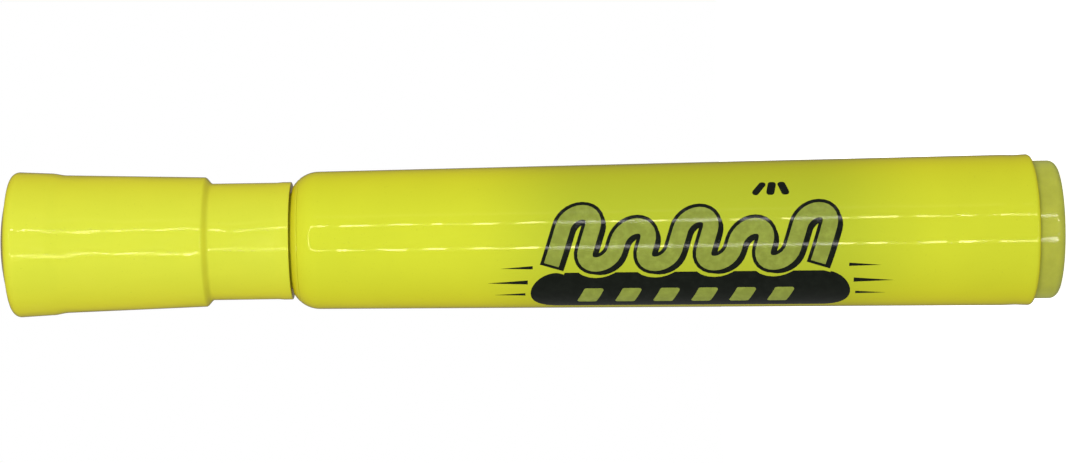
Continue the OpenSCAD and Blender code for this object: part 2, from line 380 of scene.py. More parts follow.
def wrapping_tree():
    """Wraps a flat print round the barrel as a thin film: its X runs down the barrel from Start, and
    its Y round it. The film starts as far inside the barrel's surface as it stands out of it."""
    inputs = {"Print": "Geometry", "Start": "Float", "Turn": "Float", "Radius": "Float", "Widening": "Float"}
    tree, given = new_tree("wrapped print", {**inputs, "Film": "Float", "Material": "Material"})
    flat = add(tree, "GeometryNodeInputPosition").outputs[0]
    flat = add(tree, "ShaderNodeSeparateXYZ", {0: flat}).outputs
    height = maths(tree, "SUBTRACT", given["Start"], flat["X"])
    radius = maths(tree, "ADD", given["Radius"], maths(tree, "MULTIPLY", flat["X"], given["Widening"]))
    turn = maths(tree, "ADD", given["Turn"], maths(tree, "DIVIDE", flat["Y"], given["Radius"]))

    def film_face(offset):
        out = maths(tree, "ADD", radius, maths(tree, "MULTIPLY", given["Film"], offset))
        out = maths(tree, "MULTIPLY", out, -1.0)
        point = {
            "X": maths(tree, "MULTIPLY", out, maths(tree, "SINE", turn)),
            "Y": maths(tree, "MULTIPLY", out, maths(tree, "COSINE", turn)),
            "Z": height,
        }
        point = add(tree, "ShaderNodeCombineXYZ", point).outputs[0]
        placed = {"Geometry": given["Print"], "Position": point}
        return add(tree, "GeometryNodeSetPosition", placed).outputs[0]

    # The film's inner face is the print turned over, and its outer face and edge are pulled out of it.
    inner = film_face(-1.0)
    thickness = maths(tree, "MULTIPLY", given["Film"], 2.0)
    outer = {"Mesh": inner, "Offset Scale": thickness, "Individual": False}
    outer = add(tree, "GeometryNodeExtrudeMesh", outer).outputs["Mesh"]
    both = add(tree, "GeometryNodeJoinGeometry")
    tree.links.new(outer, both.inputs[0])
    tree.links.new(add(tree, "GeometryNodeFlipFaces", {"Mesh": inner}).outputs[0], both.inputs[0])
    closed = add(tree, "GeometryNodeMergeByDistance", {"Geometry": both.outputs[0], "Distance": 1e-6})
    return end_tree(tree, closed.outputs[0], given["Material"])


def lamp_tree():
    """Sets lamp chips along a line, Pitch apart, each of Length by Width and facing +Y."""
    inputs = {"Line": "Geometry", "Pitch": "Float", "Length": "Float", "Width": "Float"}
    tree, given = new_tree("lamp frame", {**inputs, "Material": "Material"})
    line = add(tree, "GeometryNodeMeshToCurve", {0: given["Line"]}).outputs[0]
    spread = {"Curve": line, "Length": given["Pitch"]}
    spread = add(tree, "GeometryNodeResampleCurve", spread, mode="LENGTH")
    size = add(tree, "ShaderNodeCombineXYZ", {"X": given["Length"], "Y": MM, "Z": given["Width"]})
    chip = add(tree, "GeometryNodeMeshCube", {"Size": size.outputs[0]}).outputs[0]
    along = add(tree, "GeometryNodeInputTangent").outputs[0]
    turn = add(tree, "FunctionNodeAlignRotationToVector", {"Vector": along}, axis="X", pivot_axis="Y")
    chips = {"Points": spread.outputs[0], "Instance": chip, "Rotation": turn.outputs[0]}
    chips = add(tree, "GeometryNodeInstanceOnPoints", chips).outputs[0]
    return end_tree(tree, chips, given["Material"])


# ---------------------------------------------------------------- meshes


def new_object(name, points, edges=(), faces=()):
    """An object at the origin with a mesh of these points, edges and faces."""
    mesh = bpy.data.meshes.new(name)
    mesh.from_pydata([tuple(p) for p in points], edges, faces)
    made = bpy.data.objects.new(name, mesh)
    bpy.context.scene.collection.objects.link(made)
    return made


def keep_result(piece):
    """Makes what a piece's modifiers give its own plain mesh, and removes them."""
    bpy.context.view_layer.update()
    evaluated = piece.evaluated_get(bpy.context.evaluated_depsgraph_get())
    mesh = bpy.data.meshes.new_from_object(evaluated)
    before = piece.data
    piece.modifiers.clear()
    piece.data = mesh
    bpy.data.meshes.remove(before)
    mesh.name = piece.name


def coat(piece, material):
    """Gives a whole piece one material."""
    piece.data.materials.clear()
    piece.data.materials.append(material)
    piece.data.polygons.foreach_set("material_index", [0] * len(piece.data.polygons))


def run_tree(piece, tree, material, **inputs):
    """Puts a piece through a geometry node tree, with its named inputs set, and keeps the result."""
    modifier = piece.modifiers.new("nodes", "NODES")
    modifier.node_group = tree
    sockets = {s.name: s.identifier for s in tree.interface.items_tree if s.in_out == "INPUT"}
    modifier[sockets["Material"]] = material
    for name, value in inputs.items():
        modifier[sockets[name.capitalize()]] = value
    keep_result(piece)
    coat(piece, material)


def combine(piece, operation, other):
    """Joins another closed shape to a piece, or cuts it out, and removes the other shape."""
    modifier = piece.modifiers.new("combine", "BOOLEAN")
    modifier.operation = operation
    modifier.solver = "EXACT"
    modifier.object = other
    keep_result(piece)
    bpy.data.meshes.remove(other.data)


def check_closed(piece):
    """Turns a piece's faces outwards, and stops the script if its mesh has a hole."""
    shape = bmesh.new()
    shape.from_mesh(piece.data)
    holes = sum(1 for edge in shape.edges if len(edge.link_faces) != 2)
    if holes:
        raise RuntimeError(f"{piece.name} has {holes} open edges")
    if shape.calc_volume(signed=True) < 0:
        bmesh.ops.reverse_faces(shape, faces=shape.faces)
    shape.to_mesh(piece.data)
    shape.free()


def turned(name, outline, material, steps):
    """A closed solid turned from an outline of (r, z) points. Two of them, one after the other, may be
    on the axis. Otherwise the outline makes a ring."""
    points = [(p[0], 0.0, p[1]) for p in outline]
    on_axis = [i for i, p in enumerate(points) if p[0] == 0]
    if on_axis:
        start = on_axis[0] if on_axis == [0, len(points) - 1] else on_axis[1]
        points = points[start:] + points[:start]
    else:
        points.append(points[0])
    piece = new_object(name, points, edges=[(i, i + 1) for i in range(len(points) - 1)])
    run_tree(piece, turning_tree(), material, steps=steps)
    check_closed(piece)
    piece.data.set_sharp_from_angle(angle=math.radians(38))
    return piece


def nib_section(half_width, half_depth, corner, count=6):
    """The nib's cross-section: a rectangle with rounded corners, as (x, y) points."""
    corners = [
        (half_width, half_depth),
        (-half_width, half_depth),
        (-half_width, -half_depth),
        (half_width, -half_depth),
    ]
    return rounded([(x, y, corner) for x, y in corners], count)


def prism(name, section, low, high):
    """A closed bar with one cross-section between two heights."""
    count = len(section)
    points = [(p[0], p[1], z) for z in (low, high) for p in section]
    sides = [(i, (i + 1) % count, (i + 1) % count + count, i + count) for i in range(count)]
    ends = [tuple(reversed(range(count))), tuple(range(count, 2 * count))]
    piece = new_object(name, points, faces=sides + ends)
    check_closed(piece)
    return piece


def cut_flat(shape, point, normal):
    """Cuts a bmesh solid at a plane, drops the side that the normal points to, and closes the cut."""
    geometry = shape.verts[:] + shape.edges[:] + shape.faces[:]
    cut = bmesh.ops.bisect_plane(shape, geom=geometry, plane_co=point, plane_no=normal, clear_outer=True)
    rim = [g for g in cut["geom_cut"] if isinstance(g, bmesh.types.BMEdge)]
    bmesh.ops.contextual_create(shape, geom=rim)


def set_on_body(piece, body, node):
    """Puts a finished piece on its body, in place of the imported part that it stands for."""
    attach(piece, body)
    if node:
        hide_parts(node)


# ---------------------------------------------------------------- settings


def length(name, description, value):
    """A length that a user can change."""
    return FloatProperty(name=name, description=description, default=value, precision=5, unit="LENGTH")


def slope(name, description, degrees):
    """An angle that a user can change."""
    return FloatProperty(name=name, description=description, default=math.radians(degrees), subtype="ANGLE")


def amount(name, description, value):
    """A plain number that a user can change."""
    return FloatProperty(name=name, description=description, default=value, min=0.0)


def paint(name, description, hex_colour):
    """A colour that a user can change."""
    return FloatVectorProperty(
        name=name,
        description=description,
        default=linear(hex_colour)[:3],
        min=0.0,
        max=1.0,
        subtype="COLOR",
    )


def whole_number(name, description, value, least):
    """A whole number that a user can change."""
    return IntProperty(name=name, description=description, default=value, min=least)


def rgba(colour):
    """A colour setting as the four numbers that a node takes."""
    return list(colour)[:3] + [1.0]


class HIGHLIGHTER_PG_plastic(bpy.types.PropertyGroup):
    """Colours and finish of the moulded plastics, with the painted shade on the barrel, and how finely the
    turned pieces are made
    """

    barrel: paint("Barrel", "Colour of the barrel", "#E0F951")
    # Painted shade: a darker barrel colour beside the print, between the two shade heights below.
    painted_shade_colour: paint("Around the print", "Colour of the barrel where it is shaded", "#C3DF4E")
    cap: paint("Cap", "Colour of the cap", "#E4FF62")
    holder: paint("Nib holder", "Colour of the nib holder", "#DDF24F")
    plug: paint("End plug", "Colour of the end plug", "#C9CD4D")
    skin: paint("Skin", "Tint of the glossy skin over the dyed plastic", "#FFEDB8")
    shade_low: length("Shade from", "Height where the barrel's shaded part starts", 22 * MM)
    shade_high: length("Shade to", "Height where it ends", 62 * MM)
    shade_fade: length("Shade fade", "Half of the length over which it starts and ends", 8 * MM)
    waves: length("Waves", "Depth of the soft waves in the surface", 0.02 * MM)
    cap_waves: length("Cap waves", "Depth of those waves on the cap", 0.14 * MM)
    scuffs: amount("Scuffs", "Roughness that scuffs add in patches", 0.03)
    cap_scuffs: amount("Cap scuffs", "The same on the cap", 0.2)
    steps: whole_number("Steps", "Facets round each turned piece", 160, 24)


class HIGHLIGHTER_PG_barrel(bpy.types.PropertyGroup):
    """Sizes of the barrel and of the ribs in it"""

    draft: slope("Draft", "Slope of the side, which widens towards the rear", 0.55)
    wall: length("Wall", "Thickness of the wall", 1.25 * MM)
    rim_round: length("Rim rounding", "Radius of the rounding on the rear rim", 0.5 * MM)
    shoulder_round: length("Shoulder rounding", "Radius of the rounding at the front", 3.5 * MM)
    shoulder: length("Shoulder", "Length of that rounding, the nib holder's flange included", 3.0 * MM)
    throat_inset: length("Throat inset", "How far the throat stands in from the front radius", 1.85 * MM)
    throat: length("Throat", "Length of the throat that grips the nib holder", 4.4 * MM)
    seat: length("Seat", "Length of the seat for the end plug", 7.0 * MM)
    sink: length("Sink", "Depth of the ring that sinks in over the end plug's snap ring", 0.05 * MM)
    sink_width: length("Sink width", "Half of that ring's width", 0.95 * MM)
    sink_place: length("Sink place", "Distance of that ring from the rear rim", 2.0 * MM)
    edge_break: length("Edge break", "Radius on the edges where two mouldings meet", 0.09 * MM)
    rib_count: whole_number("Ribs", "Number of ribs that centre the reservoir", 6, 3)
    rib_width: length("Rib width", "Width of each rib", 0.9 * MM)
    rib_height: length("Rib height", "Height of the ribs above the bore at the front", 0.18 * MM)


class HIGHLIGHTER_PG_plug(bpy.types.PropertyGroup):
    """Sizes of the end plug"""

    edge_round: length("Edge rounding", "Radius of the rounding round the flat end", 1.0 * MM)
    wall: length("Wall", "Thickness of the skirt", 1.1 * MM)
    floor: length("Floor", "Thickness of the flat end", 1.3 * MM)
    snap: length("Snap", "Height of the snap ring on the skirt", 0.15 * MM)
    cross: length("Cross", "Thickness of the cross inside", 0.9 * MM)
    gate: length("Gate", "Radius of the dish round the moulding gate", 1.6 * MM)


class HIGHLIGHTER_PG_holder(bpy.types.PropertyGroup):
    """Sizes of the nib holder"""

    flange: length("Flange", "Thickness of the flange between the barrel and the cap", 0.8 * MM)
    neck_inset: length("Neck inset", "How far the neck stands in from the barrel's front radius", 2.45 * MM)
    neck: length("Neck", "Length of the neck that the cap slides on", 8.2 * MM)
    land_inset: length("Land inset", "How far the sealing land stands in from the neck", 0.81 * MM)
    land: length("Land", "Length of the sealing land", 3.2 * MM)
    nose: length("Nose radius", "Radius of the nose's end", 3.25 * MM)
    wall: length("Wall", "Thickness of the neck and the spigot", 1.15 * MM)
    snap: length("Snap", "Height of the snap ring on the neck", 0.05 * MM)
    snap_place: length("Snap place", "Distance of the snap ring from the flange", 3.2 * MM)
    slot_gap: length("Slot gap", "Gap round the nib where it leaves the nose", 0.04 * MM)


class HIGHLIGHTER_PG_nib(bpy.types.PropertyGroup):
    """Sizes and colours of the nib and the reservoir"""

    colour: paint("Nib", "Colour of the inked nib", "#DDF01A")
    reservoir: paint("Reservoir", "Colour of the inked reservoir", "#E2F03A")
    film: paint("Film", "Colour of the film round the reservoir", "#EEF2E0")
    corner: length("Corner", "Radius of the nib's long edges", 0.55 * MM)
    slant: slope("Slant", "Slant of the writing edge", 35)
    bevel: length("Bevel", "Width of the bevel on each broad face", 0.9 * MM)
    bevel_slope: slope("Bevel slope", "Slope of those bevels from the writing edge", 60)
    wedge: length("Wedge", "Thickness of the wedge end in the reservoir", 1.2 * MM)
    wedge_slope: slope("Wedge slope", "Slope of the wedge's faces", 70)
    wear: length("Wear", "Radius worn on the edges of the writing end", 0.14 * MM)


class HIGHLIGHTER_PG_cap(bpy.types.PropertyGroup):
    """Sizes of the cap and of the inner cap that closes it and seals the nib"""

    wall: length("Wall", "Thickness of the wall", 1.15 * MM)
    bell: length("Bell", "How far the collar bells out at the mouth", 0.06 * MM)
    bell_length: length("Bell length", "Length of that bell", 1.8 * MM)
    lip: length("Lip", "Radius on the edges of the mouth", 0.1 * MM)
    collar: length("Collar", "Length of the collar at the mouth", 9.2 * MM)
    step: length("Step", "Length of the step from the collar to the body", 0.95 * MM)
    step_rise: length("Step rise", "Rise of that step", 0.76 * MM)
    widening: length("Widening", "How much the body widens up to the ramp", 0.47 * MM)
    ramp: length("Ramp", "Length of the ramp from the body up to the band", 2.1 * MM)
    ramp_rise: length("Ramp rise", "Rise of the ramp", 0.26 * MM)
    band: length("Band", "Length of the band at the closed end", 4.5 * MM)
    band_widening: length("Band widening", "How much the band widens", 0.18 * MM)
    edge_round: length("Edge rounding", "Radius of the rounding round the closed end", 1.0 * MM)
    ring: length("Ring", "Length of the inner cap's ring in the cap", 2.9 * MM)
    ring_wall: length("Ring wall", "Thickness of that ring", 0.9 * MM)
    disc: length("Disc", "Thickness of the disc", 1.1 * MM)
    liner_wall: length("Liner wall", "Thickness of the liner that seals the nib", 0.75 * MM)
    seam: length("Seam", "Radius on the edges of the seam round the disc", 0.12 * MM)
    gate: length("Gate", "Radius of the dish round the moulding gate", 1.1 * MM)


class HIGHLIGHTER_PG_print(bpy.types.PropertyGroup):
    """Sizes and inks of the print on the barrel"""

    dark: paint("Dark ink", "Colour of the first ink", "#10160C")
    tint: paint("Tint ink", "Colour of the second ink", "#919D3F")
    start: length("Start", "Height of the end of the print that is nearer the cap", 66.9 * MM)
    turn: slope("Turn", "Turn of the print round the barrel, towards -X", 0)
    film: length("Film", "Height of the ink above the plastic", 0.012 * MM)
    band: length("Band", "Width of the bands that the print is divided in to follow the barrel", 0.35 * MM)


class HIGHLIGHTER_PG_stage(bpy.types.PropertyGroup):
    """The camera and the lights"""

    distance: length("Distance", "Distance of the camera from the axis", 375 * MM)
    height: length("Height", "Height of the camera", 60.4 * MM)
    aside: length("Aside", "Distance of the camera towards +X", 0.64 * MM)
    roll: slope("Roll", "Turn of the camera about its line of sight, past a quarter turn", 0.87)
    lens: FloatProperty(name="Lens", description="Focal length in millimetres", default=106.7, min=10.0)
    floor: length("Floor", "Radius of the round floor", 700 * MM)
    tent: amount("Tent", "Brightness of the light tent", 0.61)
    front: amount("Front", "How much brighter the tent's front is", 0.06)
    mirrored: amount("Mirrored", "Share of the tent's light that gleams", 0.32)
    lamps: amount("Lamps", "Brightness of the lamps in the frame", 26.0)
    lamp_bar: amount("Bar", "Brightness of the frame between them", 0.7)
    strip_share: amount("Strip share", "Brightness of the plain strip, as a multiple of that", 1.5)
    lamp_high: slope("Upper lamps", "Angle of one side of the lamp frame, towards +X", 23)
    lamp_low: slope("Lower lamps", "Angle of its other side, towards -X", 17)
    lamp_strip: slope("Strip", "Angle of the plain strip beyond the upper lamps", 39)
    lamp_reach: length("Lamp reach", "Length of the lamp frame's straight sides", 230 * MM)
    lamp_pitch: length("Lamp pitch", "Distance between the lamps", 10.5 * MM)
    lamp_length: length("Lamp length", "Length of each lamp", 4.6 * MM)
    lamp_width: length("Lamp width", "Width of each lamp", 18 * MM)
    bar_width: length("Bar width", "Width of the frame that they sit on", 32 * MM)
    key: amount("Key", "Power of the front panel, in watts", 0.27)
    fill: amount("Fill", "Power of each rear panel, in watts", 0.28)


GROUPS = {
    "plastic": HIGHLIGHTER_PG_plastic,
    "barrel": HIGHLIGHTER_PG_barrel,
    "plug": HIGHLIGHTER_PG_plug,
    "holder": HIGHLIGHTER_PG_holder,
    "nib": HIGHLIGHTER_PG_nib,
    "cap": HIGHLIGHTER_PG_cap,
    "print": HIGHLIGHTER_PG_print,
    "stage": HIGHLIGHTER_PG_stage,
}


def settings(group):
    """A group of settings of the scene."""
    return getattr(bpy.context.scene, "highlighter_" + group)


def dyed(part, colour, waves, scuffs, shaded=None):
    """The dyed plastic of one part, with waves and scuffs of the given strength, and painted shade where
    shaded is given.
    """
    name = "moulded_fluorescent_polypropylene_" + part
    skin = rgba(settings("plastic").skin)
    return moulded_polypropylene(name, rgba(colour), skin, waves, scuffs, shaded)


def box_radius(node):
    """Radius of a packed round part, taken where its facets reach least far."""
    low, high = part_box(node)
    return min(-low.x, -low.y, high.x, high.y)


class Heights:
    """Heights and radii that neighbouring pieces share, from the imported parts' boxes."""

    def __init__(self):
        barrel, holder, cap = settings("barrel"), settings("holder"), settings("cap")
        low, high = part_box("barrel")
        self.rear, self.edge, self.rear_r = low.z, high.z, box_radius("barrel")
        self.flange = self.edge + holder.flange
        self.shoulder = self.flange - barrel.shoulder
        self.front_r = self.rear_r - (self.shoulder - self.rear) * math.tan(barrel.draft)
        self.seat = self.rear + barrel.seat
        self.seat_r = self.rear_r - barrel.wall
        self.neck_r = self.front_r - holder.neck_inset
        self.neck = self.flange + holder.neck
        self.throat_r = self.front_r - barrel.throat_inset
        low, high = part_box("cap")
        self.mouth, self.cap_rim, self.cap_r = low.z, high.z, box_radius("cap")
        rises = (cap.band_widening, cap.ramp_rise, cap.widening, cap.step_rise)
        self.bore_r = self.cap_r - sum((*rises, cap.wall))

    def shoulder_arc(self, low, high, count):
        """The rounding that runs over the barrel's front edge and the nib holder's flange."""
        radius = settings("barrel").shoulder_round
        heights = [low + (high - low) * i / count for i in range(count + 1)]
        return [
            (self.front_r - radius + math.sqrt(radius**2 - (z - self.shoulder) ** 2), z) for z in heights
        ]


# ---------------------------------------------------------------- pieces


class HIGHLIGHTER_OT_barrel(bpy.types.Operator):
    """Makes the barrel with its draft, rounded shoulder and rim, the ring sunk over the plug, and its ribs"""

    bl_idname = "highlighter.barrel"
    bl_label = "Barrel"

    def execute(self, context):
        s, h, plastic = settings("barrel"), Heights(), settings("plastic")
        tan = math.tan(s.draft)
        rim = arc((h.rear_r - s.rim_round, h.rear + s.rim_round), s.rim_round, -90, 0, 12)
        side = filled_in(rim[-1], (h.front_r, h.shoulder), 0.5 * MM)[1:]
        sunk = [
            (p.x - s.sink * math.exp(-(((p.y - h.rear - s.sink_place) / s.sink_width) ** 2)), p.y)
            for p in side
        ]
        shoulder = h.shoulder_arc(h.shoulder, h.edge, 8)
        throat = h.edge - s.throat
        bore = [
            (*shoulder[-1], s.edge_break),
            (h.throat_r, h.edge, 0.3 * MM),
            (h.throat_r, throat),
            (h.front_r - s.wall, throat),
            (h.front_r - s.wall + (throat - h.seat) * tan, h.seat),
            (h.seat_r, h.seat),
            (h.seat_r, h.rear, s.edge_break),
        ]
        corners = [*rim, *sunk, *shoulder[:-1], *bore]
        # The barrel's colour carries painted shade beside the print, on its -Y side between two heights.
        shaded = (rgba(plastic.painted_shade_colour), plastic.shade_low, plastic.shade_high, plastic.shade_fade)
        dye = dyed("barrel", plastic.barrel, plastic.waves, plastic.scuffs, shaded)
        piece = turned("barrel_shell", rounded(corners), dye, plastic.steps)
        set_on_body(piece, "barrel", "barrel")

        # One rib stands on the bore, and its outer face is sunk in the wall.
        inner = h.front_r - s.wall - s.rib_height
        outer = h.front_r - s.wall + 1.0 * MM
        half = s.rib_width / 2
        rib = [(inner, -half), (outer, -half), (outer, half), (inner, half)]
        rib = prism("barrel_ribs", rib, h.seat + 1.5 * MM, throat + 0.1 * MM)
        run_tree(rib, repeating_tree(), dye, count=s.rib_count)
        check_closed(rib)
        set_on_body(rib, "barrel", "barrel")
        return {"FINISHED"}


class HIGHLIGHTER_OT_plug(bpy.types.Operator):
    """Makes the end plug, with its rounded edge, snap ring and gate dish, and the cross inside it"""

    bl_idname = "highlighter.plug"
    bl_label = "End plug"

    def execute(self, context):
        s, h, plastic = settings("plug"), Heights(), settings("plastic")
        low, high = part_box("end_plug")
        head_r = box_radius("end_plug")
        skirt = h.seat_r - s.wall
        ring = h.rear + (h.seat - h.rear) / 3
        dish, stub = low.z + 0.32 * MM, low.z + 0.16 * MM
        corners = [
            (0.0, stub),
            (0.42 * MM, stub, 0.1 * MM),
            (0.55 * MM, dish, 0.1 * MM),
            (s.gate - 0.2 * MM, dish, 0.15 * MM),
            (s.gate + 0.2 * MM, low.z, 0.2 * MM),
            (head_r, low.z, s.edge_round),
            (head_r, h.rear),
            (h.seat_r, h.rear),
            (h.seat_r, ring - 0.6 * MM),
            (h.seat_r + s.snap, ring, 0.25 * MM),
            (h.seat_r, ring + 0.6 * MM),
            (h.seat_r, high.z, 0.4 * MM),
            (skirt, high.z, 0.2 * MM),
            (skirt, low.z + s.floor, 0.4 * MM),
            (0.0, low.z + s.floor),
        ]
        satin = satin_polypropylene("satin_moulded_polypropylene_plug", plastic.plug)
        piece = turned("end_plug_body", rounded(corners, 8), satin, plastic.steps)
        set_on_body(piece, "barrel", "end_plug")

        half, reach = s.cross / 2, skirt + 0.2 * MM
        foot, top = low.z + s.floor - 0.2 * MM, high.z - 0.1 * MM
        plate = [(-reach, -half), (reach, -half), (reach, half), (-reach, half)]
        cross = prism("end_plug_cross", plate, foot, top)
        combine(cross, "UNION", prism("crossing_plate", [(-y, x) for x, y in plate], foot, top))
        coat(cross, satin)
        check_closed(cross)
        set_on_body(cross, "barrel", "end_plug")
        return {"FINISHED"}


class HIGHLIGHTER_OT_holder(bpy.types.Operator):
    """Makes the nib holder: spigot, flange, neck with its snap ring, sealing land and slotted nose"""

    bl_idname = "highlighter.holder"
    bl_label = "Nib holder"

    def execute(self, context):
        s, h, plastic, nib = settings("holder"), Heights(), settings("plastic"), settings("nib")
        low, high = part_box("nib_holder")
        soft = settings("barrel").edge_break
        flange = h.shoulder_arc(h.edge, h.flange, 3)
        snap = h.flange + s.snap_place
        land_r = h.neck_r - s.land_inset
        land = h.neck + s.land
        hollow = h.neck - s.wall
        corners = [
            (h.throat_r - s.wall, low.z, 0.15 * MM),
            (h.throat_r, low.z, 0.4 * MM),
            (h.throat_r, h.edge),
            (*flange[0], soft),
            *flange[1:-1],
            (*flange[-1], 0.1 * MM),
            (h.neck_r, h.flange, 0.12 * MM),
            *soft_step((h.neck_r, snap - 0.6 * MM), (h.neck_r + s.snap, snap), 6),
            *soft_step((h.neck_r + s.snap, snap), (h.neck_r, snap + 0.6 * MM), 6)[1:],
            (h.neck_r, h.neck, 0.4 * MM),
            (land_r, h.neck, 0.15 * MM),
            (land_r, land, 0.3 * MM),
            (s.nose, high.z, 0.35 * MM),
            (0.0, high.z),
            (0.0, hollow),
            (h.neck_r - s.wall, hollow),
            (h.neck_r - s.wall, h.flange),
            (h.throat_r - s.wall, h.edge),
        ]
        dye = dyed("holder", plastic.holder, plastic.waves, plastic.scuffs)
        piece = turned("nib_holder_body", rounded(corners), dye, plastic.steps)
        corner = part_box("nib")[1]
        section = nib_section(corner.x + s.slot_gap, corner.y + s.slot_gap, nib.corner + s.slot_gap)
        combine(piece, "DIFFERENCE", prism("slot", section, hollow - MM, high.z + MM))
        check_closed(piece)
        piece.data.set_sharp_from_angle(angle=math.radians(38))
        set_on_body(piece, "barrel", "nib_holder")
        return {"FINISHED"}


class HIGHLIGHTER_OT_nib(bpy.types.Operator):
    """Makes the chisel nib, with its worn slanted end and wedge tail, and finishes the reservoir"""

    bl_idname = "highlighter.nib"
    bl_label = "Nib and reservoir"

    def execute(self, context):
        s = settings("nib")
        low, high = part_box("nib")
        piece = prism("nib_body", nib_section(high.x, high.y, s.corner), low.z, high.z)
        shape = bmesh.new()
        shape.from_mesh(piece.data)
        slant = Matrix.Rotation(s.slant, 3, "Y")
        cut_flat(shape, (low.x, 0, high.z), slant @ Vector((0, 0, 1)))
        for side in (-1, 1):
            tilt = slant @ Matrix.Rotation(-side * s.bevel_slope, 3, "X")
            cut_flat(shape, (low.x, side * (high.y - s.bevel), high.z), tilt @ Vector((0, 0, 1)))
            tilt = Matrix.Rotation(math.pi + side * s.wedge_slope, 3, "X")
            cut_flat(shape, (0, side * s.wedge / 2, low.z), tilt @ Vector((0, 0, 1)))
        shape.to_mesh(piece.data)
        shape.free()
        worn = piece.modifiers.new("worn edges", "BEVEL")
        worn.width = s.wear
        worn.segments = 4
        worn.limit_method = "ANGLE"
        worn.angle_limit = math.radians(25)
        keep_result(piece)
        check_closed(piece)
        coat(piece, bonded_fibre("bonded_polyester_fibre_nib", s.colour, 0.22 * MM, 25e-6))
        piece.data.set_sharp_from_angle(angle=math.radians(180))
        set_on_body(piece, "barrel", "nib")

        core = bonded_fibre("bonded_polyester_fibre_reservoir", s.reservoir, 0.4 * MM, 40e-6)
        for node, material in (
            ("reservoir_core", core),
            ("reservoir_wrap", shrunk_film("shrunk_polypropylene_film", s.film)),
        ):
            coat(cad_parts[node], material)
        return {"FINISHED"}


class HIGHLIGHTER_OT_cap(bpy.types.Operator):
    """Makes the cap's open shell, and the inner cap whose disc closes it and whose liner seals the nib"""

    bl_idname = "highlighter.cap"
    bl_label = "Cap and inner cap"

    def execute(self, context):
        s, h, plastic = settings("cap"), Heights(), settings("plastic")
        collar_r = h.bore_r + s.wall
        lip_r = collar_r + s.bell
        waist_r = collar_r + s.step_rise
        ramp_r = waist_r + s.widening
        band_r = ramp_r + s.ramp_rise
        collar = h.mouth + s.collar
        waist = collar + s.step
        band = h.cap_rim - s.band
        ramp = band - s.ramp
        disc_r = box_radius("inner_cap")
        body = filled_in((waist_r, waist), (ramp_r, ramp), 1.0 * MM)[1:]
        corners = [
            (h.bore_r, h.mouth, s.lip),
            (lip_r, h.mouth, s.lip),
            *soft_step((lip_r, h.mouth + s.bell_length / 2), (collar_r, h.mouth + s.bell_length)),
            *soft_step((collar_r, collar), (waist_r, waist)),
            *body,
            *soft_step((ramp_r, ramp), (band_r, band)),
            *arc((h.cap_r - s.edge_round, h.cap_rim - s.edge_round), s.edge_round, 0, 90, 12),
            (disc_r, h.cap_rim, s.seam),
            (disc_r, h.cap_rim - s.ring),
            (band_r - s.wall, band),
            (ramp_r - s.wall, ramp),
            (waist_r - s.wall, waist),
            (h.bore_r, collar),
        ]
        dye = dyed("cap", plastic.cap, plastic.cap_waves, plastic.cap_scuffs)
        piece = turned("cap_shell", rounded(corners), dye, plastic.steps)
        set_on_body(piece, "cap", "cap")

        low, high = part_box("inner_cap")
        disc = h.cap_rim - s.disc
        liner_r = h.neck_r - s.liner_wall
        dome = high.z - h.cap_rim
        dome_r = (disc_r**2 + dome**2) / (2 * dome)
        spread = math.degrees(math.asin(disc_r / dome_r))
        centre = (0, high.z - dome_r)
        top = arc(centre, dome_r, 90 - spread, 90 - spread * s.gate * 1.5 / disc_r, 24)
        inside = dome_r - s.disc
        under = arc(centre, inside, 90, 90 - math.degrees(math.asin(liner_r / inside)), 16)
        dish, stub = high.z - 0.14 * MM, high.z - 0.05 * MM
        corners = [
            (disc_r - s.ring_wall, h.cap_rim - s.ring),
            (disc_r, h.cap_rim - s.ring),
            (*top[0], s.seam),
            *top[1:],
            (s.gate, dish, 0.2 * MM),
            (0.45 * MM, dish, 0.08 * MM),
            (0.35 * MM, stub, 0.08 * MM),
            (0.0, stub),
            (0.0, high.z - s.disc),
            *under[1:],
            (liner_r, low.z, 0.2 * MM),
            (h.neck_r, low.z, 0.3 * MM),
            (h.neck_r, disc, 0.3 * MM),
            (disc_r - s.ring_wall, disc, 0.2 * MM),
        ]
        piece = turned("inner_cap_body", rounded(corners), dye, plastic.steps)
        set_on_body(piece, "cap", "inner_cap")
        return {"FINISHED"}


# ---------------------------------------------------------------- print


def capsule(start, end, centre, half, count=18):
    """A long shape with round ends, between two places along the print."""
    return arc((start + half, centre), half, 90, 270, count) + arc((end - half, centre), half, -90, 90, count)


def leaning(left, width, bottom, top, lean, corner):
    """A slanted bar with soft corners, whose top leans away from its foot by lean for each millimetre."""
    head = left + lean * (bottom - top)
    corners = [(left, bottom), (left + width, bottom), (head + width, top), (head, top)]
    return [tuple(p) for p in rounded([(*c, corner) for c in corners], 5)]


def winding_path(first, pitch, tops, bottom, lean):
    """A line that winds up and down in slanted legs, pitch apart, joined by round bends."""
    bend = pitch / 2
    path = [(first, bottom)]
    for i, top in enumerate(tops):
        left = first + 2 * pitch * i
        over = arc((left + bend, top + bend), bend, 180, 360, 14)
        under = arc((left + pitch + bend, bottom - bend), bend, 180, 0, 14)
        path += over + (under if i < len(tops) - 1 else [(left + pitch, bottom)])
    return [Vector((x - lean * y, y)) for x, y in path]


def stroke(path, half, reach=0.0, shift=(0.0, 0.0)):
    """The outline of a line of even width along a path, reach longer at both ends."""
    points = [Vector(p) + Vector(shift) for p in path]
    points[0] += (points[0] - points[1]).normalized() * reach
    points[-1] += (points[-1] - points[-2]).normalized() * reach
    left, right = [], []
    for i, here in enumerate(points):
        along = (points[min(i + 1, len(points) - 1)] - points[max(i - 1, 0)]).normalized()
        aside = Vector((-along.y, along.x)) * half
        left.append(tuple(here + aside))
        right.append(tuple(here - aside))
    return left + right[::-1]


